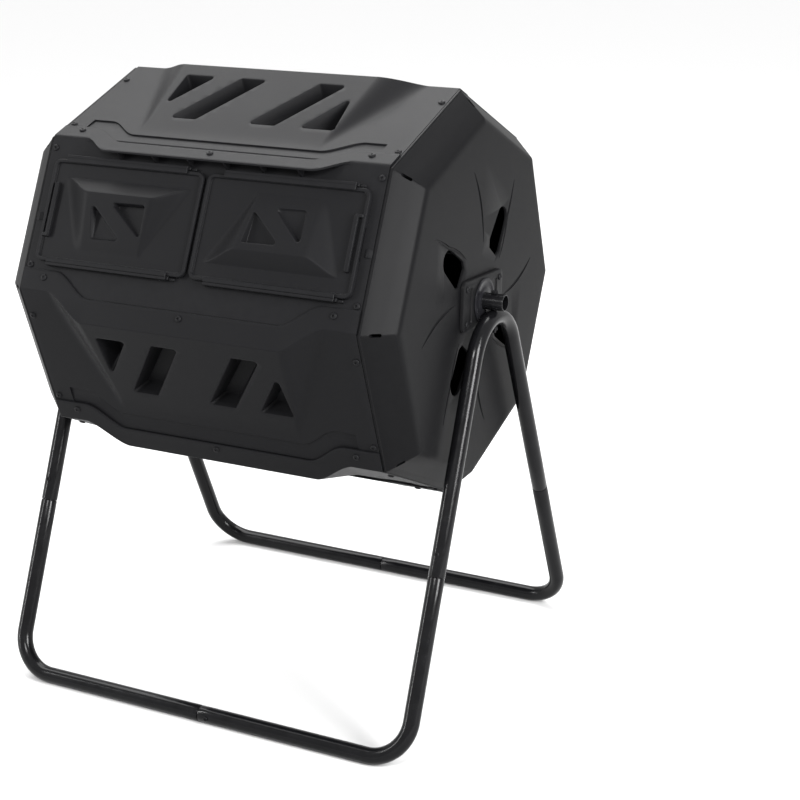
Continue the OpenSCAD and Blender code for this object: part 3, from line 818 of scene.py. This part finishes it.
def left_door_mesh():
    x, s = np.meshgrid(door_grid_x(), door_grid_s(), indexing="ij")
    top = np.stack([x, s, door_surface(x, s)], -1)
    bottom = np.stack([x, s, np.full_like(x, DOOR_UNDER)], -1)
    door = closed_grid("door_body", on_side(DOOR_SIDE, top), on_side(DOOR_SIDE, bottom))
    carve(door, [triangle_cutter(triangle) for triangle in DOOR_TRIANGLES])
    bead = (
        (0.0, DOOR_LIFT), (0.0, DOOR_RIM - 1.6), (-0.4, DOOR_RIM - 0.6), (-1.3, DOOR_RIM),
        (-4.6, DOOR_RIM), (-5.3, DOOR_RIM - 0.4), (-5.9, DOOR_RIM - 1.6), (-6.3, DOOR_FIELD + 0.4),
        (-7.2, DOOR_FIELD - 0.1), (-7.2, DOOR_UNDER + 0.1), (-3.0, DOOR_UNDER + 0.1), (-3.0, DOOR_LIFT),
    )
    outline = rectangle(-DOOR_OUT, -DOOR_IN, DOOR_TOP, DOOR_BOTTOM)
    rim = loft("rim", on_side(DOOR_SIDE, layered(outline, DOOR_CORNER, bead, 8)), closed=True)
    # the rim is notched where it passes over the catch
    middle = (DOOR_TOP + DOOR_BOTTOM) / 2
    carve(rim, [box_solid(-DOOR_OUT - 3, 4 - DOOR_OUT, middle - 24, middle + 24, -3, 3.1, 0.5)])
    return join("door", [door, rim] + grip_bar())


def doors():
    left = left_door_mesh()
    left.name = "left_door_moulding"
    centre = on_side(DOOR_SIDE, [0, (DOOR_TOP + DOOR_BOTTOM) / 2, 0]) * MM
    right = turned(left.data, "right_door_moulding", math.pi, Vector(side_axes(DOOR_SIDE)[0]), centre)
    finish_piece(left, "door_left", DOOR_PLASTIC, "door_plastic", "door_left", angle=28)
    finish_piece(right, "door_right", DOOR_PLASTIC, "door_plastic", "door_right", angle=28)


# ---------- End caps and divider ----------

def octagon(x, radius, corner):
    turn = 2 * math.pi / SIDES
    points = [(radius * math.cos(turn * i), radius * math.sin(turn * i)) for i in range(SIDES)]
    return at_level(rounded(points, corner, 0.0, 4), x, 0)


def polar_axes(turn):
    """Outward and crosswise directions in the cap's plane, at a turn in degrees."""
    a = math.radians(turn)
    return np.array([math.cos(a), math.sin(a)]), np.array([-math.sin(a), math.cos(a)])


def cap_vent_cutter(turn):
    """A radial vent: square at the hub, rounded outside, with a soft rim."""
    out, across = polar_axes(turn)
    arc = [math.radians(v) for v in np.linspace(80, -80, 9)]
    shape = [(79, 15), (90, 21.5)]
    shape += [(134 + 17.5 * math.cos(v), 17.5 * math.sin(v)) for v in arc]
    shape += [(90, -21.5), (79, -15)]
    middle = np.array([112.0, 0.0])
    spread = np.array(shape) - middle
    size = np.linalg.norm(spread, axis=1)[:, None]
    rings = []
    for grow, up in ((2.2, 3.0), (2.0, 0.02), (0.6, -0.6), (0.0, -2.2), (-0.6, -16.0)):
        line = middle + spread * (size + grow) / size
        rings.append(at_level(line[:, :1] * out + line[:, 1:] * across, FACE_X + up, 0))
    return rings


def rib_cutter(points):
    """A tapered groove in the cap's face through polar points (radius, turn in degrees)."""
    radii, turns = zip(*points)
    rings = []
    for share in np.linspace(0, 1, 15):
        r = np.interp(share * 2, [0, 1, 2], radii)
        out, across = polar_axes(np.interp(share * 2, [0, 1, 2], turns) + 4)
        width = 3.4 * math.sin(math.pi * (0.08 + 0.84 * share)) ** 0.7
        ring = []
        for v in np.linspace(0, 2 * math.pi, 9)[:-1]:
            place = r * out + across * width * math.cos(v)
            ring.append((FACE_X + 0.9 + width * math.sin(v), place[0], place[1]))
        rings.append(ring)
    return rings


def mirrored(rings, direction):
    rings = np.array(rings, float)
    rings[..., 0] *= direction
    return on_drum(rings)


def end_cap(direction, name, node):
    bevel_r = 265.0
    tuck_r = DRUM_R - 4.7
    # (x, radius to the corners, corner rounding), from the tucked-in edge over the rim to the face
    outside = [
        (RIM_HALF - 30, tuck_r - 4, 3), (RIM_HALF - 30, tuck_r, 4), (RIM_HALF - 4.2, tuck_r, 4),
        (RIM_HALF - 4.0, DRUM_R - 0.9, 4), (RIM_HALF - 3.2, DRUM_R, 4), (RIM_HALF - 1.2, DRUM_R, 4),
        (RIM_HALF - 0.4, DRUM_R - 0.5, 4), (RIM_HALF + 0.2, DRUM_R - 2.2, 4),
        (RIM_HALF + 0.8, DRUM_R - 2.7, 4), (RIM_HALF + 6, DRUM_R - 7.4, 5),
        (FACE_X - 4, bevel_r + 4.2, 6), (FACE_X - 2, bevel_r + 1.6, 6),
        (FACE_X - 0.7, bevel_r - 1.8, 6), (FACE_X - 0.1, bevel_r - 6, 6), (FACE_X, bevel_r - 12, 6),
    ]
    face = [(FACE_X, bevel_r * share, 6 * share) for share in (0.8, 0.6, 0.4, 0.25, 0.12)]
    inside = [
        (FACE_X, 18.0, 4), (FACE_X - WALL, 18.0, 4), (FACE_X - WALL, bevel_r - 8, 6),
        (RIM_HALF + 3, DRUM_R - 11, 4), (RIM_HALF - 4, tuck_r - 4, 4),
    ]
    rings = [octagon(*ring) for ring in outside + face + inside]
    cap = loft(name, mirrored(rings, direction), closed=True)
    cuts = []
    for quarter in range(4):
        cuts.append(cap_vent_cutter(56.5 + 90 * quarter))
        for line in CAP_GROOVES:
            cuts.append(rib_cutter([(r, turn + 90 * quarter) for r, turn in line]))
    for corner in range(SIDES):
        out, across = polar_axes(45 * corner)
        slot = rounded(rectangle(*SLOT_X, *SLOT_ACROSS), 2.2, 0, 4)
        rings = []
        for r in (DRUM_R - 40, DRUM_R + 8):
            rings.append(at_level(out * r + slot[:, 1:] * across, RIM_HALF + slot[:, 0], 0))
        cuts.append(rings)
    carve(cap, [loft("cutter", mirrored(rings, direction)) for rings in cuts])
    return finish_piece(cap, "drum", SHADED_CAP_PLASTIC, "cap_plastic", node, angle=28)


def restyle(node, material):
    """A CAD node whose shape is right gets its finish."""
    materials = frame["nodes"][node].data.materials
    materials.clear()
    materials.append(material)


# ---------- Screws ----------

def cross_head(height, head, shank, depth):
    """A cross-recessed pan head with its shank, drawn upward from the surface under the head."""
    profile = [
        (-depth, shank), (-0.05, shank), (0.0, head * 0.93), (0.25, head), (height * 0.42, head * 0.98),
        (height * 0.72, head * 0.84), (height * 0.92, head * 0.6), (height, head * 0.3),
    ]
    angles = np.arange(28) * 2 * math.pi / 28
    circle = np.column_stack([np.cos(angles), np.sin(angles)])
    screw = loft("screw", [at_level(circle * r, z) for z, r in profile])
    arm, width = head * 0.55, head * 0.13
    cross = []
    for a, b in ((arm, width), (width, arm)):
        corners = np.array(rectangle(-a, a, -b, b))
        rings = [at_level(corners, height + 1), at_level(corners * 0.55, height * 0.35)]
        cross.append(loft("cutter", rings))
    return taken_apart(carve(screw, cross))


def scattered(name, shape, places):
    """One object with the shape repeated at places (origin, x axis, y axis, z axis)."""
    points, faces = shape
    all_points, all_faces = [], []
    for i, (origin, ax, ay, az) in enumerate(places):
        turned = points[:, 0:1] * ax + points[:, 1:2] * ay + points[:, 2:3] * az
        all_points.append(turned + origin)
        all_faces += [tuple(v + i * len(points) for v in face) for face in faces]
    return outward_faces(new_object(name, np.concatenate(all_points), all_faces))


def facing(origin, outward, turn):
    """Axes of a screw whose head faces outward, turned about itself."""
    outward = np.array(outward, float)
    first = np.cross(outward, [1.0, 0, 0])
    if np.linalg.norm(first) < 0.1:
        first = np.cross(outward, [0, 1.0, 0])
    first /= np.linalg.norm(first)
    second = np.cross(outward, first)
    ax = math.cos(turn) * first + math.sin(turn) * second
    ay = np.cross(outward, ax)
    return np.array(origin, float), ax, ay, outward


def strip_place(k, x, u, turn):
    """A screw on the strip over side k's leading corner."""
    x, u = np.array([float(x)]), np.array([float(u)])
    level = np.full(1, STRIP) if k == DOOR_SIDE else strip_level(x, u)
    point = from_strip(x, u, level + 0.3)[0]
    return facing(on_side(k, point), side_axes(k - 1)[0], turn)


def drive(name, shape, places, body, slot, node):
    """A set of equal screws as one finished piece."""
    finish_piece(scattered(name, shape, places), body, SCREW_FINISH, slot, node, angle=40)


def drum_screws():
    shape = cross_head(2.4, 5.0, 2.0, 9.0)
    chance = np.random.default_rng(7)
    for sign, side in ((-1, "left"), (1, "right")):
        places = []
        for k in range(SIDES):
            for row in DOOR_ROWS if k == DOOR_SIDE else CAP_ROWS:
                origin = on_side(k, [sign * CAP_SCREW_X, row, 0.3])
                places.append(facing(origin, side_axes(k)[0], chance.uniform(0, math.pi)))
        drive(f"cap_screw_set_{side}", shape, places, "drum", "panel_screw", f"cap_screws_{side}")
        places = []
        for y in (-HUB_SCREW[0], HUB_SCREW[0]):
            for z in (-HUB_SCREW[1], HUB_SCREW[1]):
                origin = on_drum([sign * (HUB_HIGH_X + 0.3), y, z])
                places.append(facing(origin, (sign, 0, 0), chance.uniform(0, math.pi)))
        drive(f"hub_screw_set_{side}", shape, places, "drum", "panel_screw", f"hub_screws_{side}")
    places = []
    for k in range(SIDES):
        for x in (-SEAM_SCREW_X, SEAM_SCREW_X):
            places.append(strip_place(k, x, -SEAM_SCREW_BACK, chance.uniform(0, math.pi)))
    drive("seam_screw_set", shape, places, "drum", "panel_screw", "seam_screws")
    places = [strip_place(k, 0, DIVIDER_SCREW_ON, chance.uniform(0, math.pi)) for k in range(SIDES)]
    drive("divider_screw_set", shape, places, "drum", "panel_screw", "divider_screws")


def frame_screws():
    shape = cross_head(2.6, 4.0, 2.0, 6.0)
    seat = TUBE_R - 0.1
    for x_sign, x_name in ((-1, "left"), (1, "right")):
        for y_sign, y_name in ((-1, "front"), (1, "back")):
            origin = leg_point(x_sign, y_sign, JOINT_DISTANCE + LEG_SCREW_UP, seat)
            node = f"leg_screw_{y_name}_{x_name}"
            places = [facing(origin, leg_outward(y_sign), 0.4)]
            drive(f"{node}_head", shape, places, "stand", "frame_screw", node)
    for y_sign, y_name in ((-1, "front"), (1, "back")):
        origin = (BAR_SCREW_X, y_sign * (FOOT_SPREAD + seat), BAR_Z)
        node = f"bar_screw_{y_name}"
        places = [facing(origin, (0, y_sign, 0), 0.7)]
        drive(f"{node}_head", shape, places, "stand", "frame_screw", node)


# ---------- Hubs and axle ----------

def hub_plate(direction, side):
    low, high = HUB_LOW_X, HUB_HIGH_X
    layers = ((-1.0, low), (0.0, low + 0.4), (0.0, high - 1.6), (-0.5, high - 0.5), (-1.7, high))
    rings = layered(rectangle(-70, 70, -37.5, 37.5), 10, layers, 7, 0)
    plate = loft("hub", mirrored(rings, direction))
    profile = [(low - 2, 26.3), (high + 2, 26.3), (high + 2, 0.5), (low - 2, 0.5)]
    cutters = [lathe("cutter", profile, direction)]
    layers = ((0.8, high + 1), (0.6, high), (0.0, high - 0.7), (-0.6, high - 1.6))
    for sign in (-1, 1):
        rings = layered(rectangle(sign * 40, sign * 49, -26, 26), 2.5, layers, 4, 0)
        cutters.append(loft("cutter", mirrored(rings, direction)))
    carve(plate, cutters)
    plate.name = f"hub_plate_{side}_moulding"
    finish_piece(plate, "drum", HUB_PLASTIC, "hub_plastic", f"hub_plate_{side}")


def hub_bearing(direction, side):
    """The flanged bush in the hub plate, and the black round washer over it."""
    low, flange, high, bore = FACE_X - 24, HUB_LOW_X, HUB_HIGH_X, TUBE_R + 0.08
    profile = [
        (low, bore), (low, 17), (flange, 17), (flange, 25.7), (high - 0.5, 26), (high, 25.4), (high, bore),
    ]
    bush = lathe(f"hub_bush_{side}_turning", profile, direction)
    finish_piece(bush, "drum", BEARING_PLASTIC, "hub_bearing", f"hub_bush_{side}")
    low, high, bore = WASHER_LOW_X, WASHER_HIGH_X, TUBE_R + 0.4
    profile = [
        (low, bore), (low, 33.2), (low + 0.6, 34), (high - 1.0, 34), (high - 0.3, 33.6), (high, 32.6),
        (high, 29), (high - 0.6, 28), (high - 0.6, 20), (high, 19), (high, bore),
    ]
    washer = lathe(f"hub_washer_{side}_turning", profile, direction)
    finish_piece(washer, "drum", BEARING_PLASTIC, "hub_bearing", f"hub_washer_{side}")


def axle():
    places = np.array([0, 0.4, 1.0, 30, AXLE_HALF - 1.2, AXLE_HALF - 0.5, AXLE_HALF - 0.1])
    x = np.concatenate([-places[:2:-1], [0], places[3:]])
    radii = [TUBE_R - 0.7, TUBE_R - 0.2, TUBE_R] + [TUBE_R] * 3 + [TUBE_R, TUBE_R - 0.2, TUBE_R - 0.7]
    path = np.column_stack([x, np.full(len(x), AXLE[1]), np.full(len(x), AXLE[2])])
    tube = pipe("axle_tube_bar", path, radii, TUBE_R - TUBE_WALL, 56, (0, 0, 1))
    finish_piece(tube, "stand", FRAME_PAINT, "axle_paint", "axle_tube")


def hex_ring(radius, z, centre, corner):
    points = [(radius * math.cos(math.pi / 3 * i), radius * math.sin(math.pi / 3 * i)) for i in range(6)]
    line = rounded(points, corner, 0.0, 3)
    return at_level(line + centre[:2], z)


def axle_bolts():
    for direction, side in ((-1, "left"), (1, "right")):
        low, high = mm_box(f"axle_bolt_{side}")
        centre = (low + high) / 2
        head_z = high[2] - 4.0
        rings = []
        for radius, z, corner in (
            (2.9, low[2], 2.4), (3.0, low[2] + 0.6, 2.5), (3.0, head_z, 2.5), (5.2, head_z, 1.2),
            (5.5, head_z + 0.4, 0.4), (5.5, high[2] - 0.7, 0.4), (4.9, high[2], 1.6),
        ):
            rings.append(hex_ring(radius, z, centre, corner))
        bolt = loft(f"axle_bolt_{side}_hex", rings)
        finish_piece(bolt, "stand", SCREW_FINISH, "axle_fastener", f"axle_bolt_{side}")
        low, high = mm_box(f"axle_nut_{side}")
        rings = []
        for radius, z, corner in (
            (5.0, low[2], 1.5), (5.5, low[2] + 0.6, 0.4), (5.5, high[2] - 0.6, 0.4),
            (5.0, high[2], 1.5), (3.15, high[2], 2.6), (3.15, low[2], 2.6),
        ):
            rings.append(hex_ring(radius, z, centre, corner))
        nut = loft(f"axle_nut_{side}_hex", rings, closed=True)
        finish_piece(nut, "stand", SCREW_FINISH, "axle_fastener", f"axle_nut_{side}")


# ---------- Stand ----------

def leg_direction(y_sign):
    return np.array([0, -y_sign * math.sin(LEG_TILT), math.cos(LEG_TILT)])


def leg_outward(y_sign):
    return np.array([0, y_sign * math.cos(LEG_TILT), math.sin(LEG_TILT)])


def leg_point(x_sign, y_sign, up, out=0.0):
    """A point up a leg's line from the ground bar, moved outward across it."""
    foot = np.array([x_sign * FRAME_X, y_sign * FOOT_SPREAD, BAR_Z])
    return foot + up * leg_direction(y_sign) + out * leg_outward(y_sign)


def rimmed(count):
    """Outer radii along a tube whose two ends are rounded over."""
    ends = [TUBE_R - less for less in TUBE_RIM]
    return ends + [TUBE_R] * (count - 6) + ends[::-1]


def upper_frame(x_sign, side):
    top = np.array([x_sign * FRAME_X, 0, APEX_Z - APEX_R])
    path = [leg_point(x_sign, -1, JOINT_DISTANCE + d) for d in (0.15, 0.5, 1.3, 60, 140, 220)]
    sweep = np.linspace(math.pi - LEG_TILT, LEG_TILT, 40)
    path += [top + APEX_R * np.array([0, math.cos(a), math.sin(a)]) for a in sweep]
    path += [leg_point(x_sign, 1, JOINT_DISTANCE + d) for d in (220, 140, 60, 1.3, 0.5, 0.15)]
    tube = pipe(f"a_frame_{side}_tube", path, rimmed(len(path)), TUBE_R - TUBE_WALL)
    finish_piece(tube, "stand", FRAME_PAINT, "frame_paint", f"upper_frame_{side}")


def lower_leg(x_sign, y_sign, name, node):
    """Leg, foot bend and half of a ground bar; the spigots run on inside the mating tubes."""
    up = leg_direction(y_sign)
    centre = leg_point(x_sign, y_sign, FOOT_R) - np.array([x_sign * FOOT_R, 0, 0])
    path = [leg_point(x_sign, y_sign, JOINT_DISTANCE - d) for d in (0.6, 1.0, 1.8, 60, 140, 205)]
    for a in np.linspace(0, math.pi / 2, 30):
        path.append(centre + FOOT_R * (math.cos(a) * np.array([x_sign, 0, 0]) - math.sin(a) * up))
    bar_y = y_sign * FOOT_SPREAD
    for d in (200, 100, 30, 1.6, 0.8, 0.4):
        path.append(np.array([x_sign * d, bar_y, BAR_Z]))
    spare = TUBE_R - TUBE_WALL - 0.2
    tapered = [spare, spare, spare, spare - 1]
    places = (-8, 20, 44, 46)
    spigot = [leg_point(x_sign, y_sign, JOINT_DISTANCE + d) for d in places]
    parts = [pipe("tube", path, rimmed(len(path)), spare - 1), pipe("spigot", spigot, tapered, spare - 1.8)]
    if x_sign < 0:
        bar = [np.array([d, bar_y, BAR_Z]) for d in places]
        parts.append(pipe("spigot", bar, tapered, spare - 1.8, reference=(0, 0, 1)))
    piece = join(name, parts)
    finish_piece(piece, "stand", FRAME_PAINT, "frame_paint", node)


# ---------- Build ----------

side_panels()
door_panel()
doors()
end_cap(-1, "end_cap_left_moulding", "end_cap_left")
end_cap(1, "end_cap_right_moulding", "end_cap_right")
restyle("divider", INNER_PLASTIC)
for direction, side in ((-1, "left"), (1, "right")):
    hub_plate(direction, side)
    hub_bearing(direction, side)
    upper_frame(direction, side)
    for y_sign, y_name in ((-1, "front"), (1, "back")):
        lower_leg(direction, y_sign, f"leg_{y_name}_{side}_tube", f"lower_leg_{y_name}_{side}")
axle()
axle_bolts()
drum_screws()
frame_screws()


# ---------- Stage, light and camera ----------

def floor():
    size = 14.0
    mesh = bpy.data.meshes.new("floor")
    corners = [(x, y, 0) for x, y in rectangle(-size, size, -size, size)]
    mesh.from_pydata(corners, [], [(0, 1, 2, 3)])
    obj = bpy.data.objects.new("floor", mesh)
    bpy.context.scene.collection.objects.link(obj)
    finish = Finish("floor_paper")
    # painted shade: the floor is darker near the middle, which evens out the pool of light under the soft
    # boxes, so that the floor is one plain white
    distance = finish.new("VectorMath")
    distance.operation = "LENGTH"
    finish.links.new(finish.place.outputs["Object"], distance.inputs[0])
    painted_floor_shade = finish.ramp(distance.outputs["Value"], 0.3, 4.5, 0.5, 0.95)
    painted_floor_shade.node.interpolation_type = "SMOOTHSTEP"
    finish.connect(painted_floor_shade, "Base Color")
    finish.shader.inputs["Roughness"].default_value = 0.9
    finish.shader.inputs["Specular IOR Level"].default_value = 0.1
    obj.data.materials.append(finish.material)


def area_light(name, place, aim, width, height, power):
    light = bpy.data.lights.new(name, "AREA")
    light.shape = "RECTANGLE"
    light.size, light.size_y = width, height
    light.energy = power
    obj = bpy.data.objects.new(name, light)
    bpy.context.scene.collection.objects.link(obj)
    obj.location = place
    obj.rotation_mode = "QUATERNION"
    obj.rotation_quaternion = (Vector(aim) - Vector(place)).to_track_quat("-Z", "Y")


def studio():
    """White surroundings; soft boxes overhead, in front and at the right; two bright strips."""
    world = bpy.data.worlds.new("studio")
    bpy.context.scene.world = world
    world.use_nodes = True
    background = world.node_tree.nodes["Background"]
    background.inputs["Color"].default_value = (1, 1, 1, 1)
    background.inputs["Strength"].default_value = 1.0
    bpy.context.scene.view_settings.view_transform = "Standard"
    middle = (0, 0, 0.62)

    def box(name, toward, distance, width, height, power):
        place = Vector(middle) + Vector(toward).normalized() * distance
        area_light(name, place, middle, width, height, power)

    box("top_box", (-0.3, 0.36, 0.84), 2.3, 3.2, 1.9, 150)
    box("right_box", (0.87, -0.37, 0.31), 2.6, 0.7, 1.3, 105)
    box("front_box", (0.2, -0.8, 0.55), 3.0, 0.9, 0.6, 60)
    box("left_strip", (-0.75, -0.6, 0.2), 3.0, 0.1, 2.2, 60)
    box("right_strip", (0.8, -0.2, 0.35), 3.0, 0.1, 2.2, 60)


def camera():
    """The eye is placed from the axle, in metres; turn, tilt and roll are the view's."""
    data = bpy.data.cameras.new("camera")
    obj = bpy.data.objects.new("camera", data)
    bpy.context.scene.collection.objects.link(obj)
    eye = Vector((1.3314, -2.2603, 0.6935)) + Vector(AXLE * MM)
    turn, tilt, roll = math.radians(26.774), math.radians(18.952), math.radians(-0.525)
    back = Vector((math.sin(turn) * math.cos(tilt), -math.cos(turn) * math.cos(tilt), math.sin(tilt)))
    right = Vector((math.cos(turn), math.sin(turn), 0))
    up = back.cross(right)
    level_right = math.cos(roll) * right + math.sin(roll) * up
    level_up = -math.sin(roll) * right + math.cos(roll) * up
    obj.matrix_world = Matrix((
        (level_right.x, level_up.x, back.x, eye.x),
        (level_right.y, level_up.y, back.y, eye.y),
        (level_right.z, level_up.z, back.z, eye.z),
        (0, 0, 0, 1),
    ))
    data.sensor_width = 36.0
    data.lens = 78.01
    data.clip_start, data.clip_end = 0.05, 100
    bpy.context.scene.camera = obj


floor()
studio()
camera()
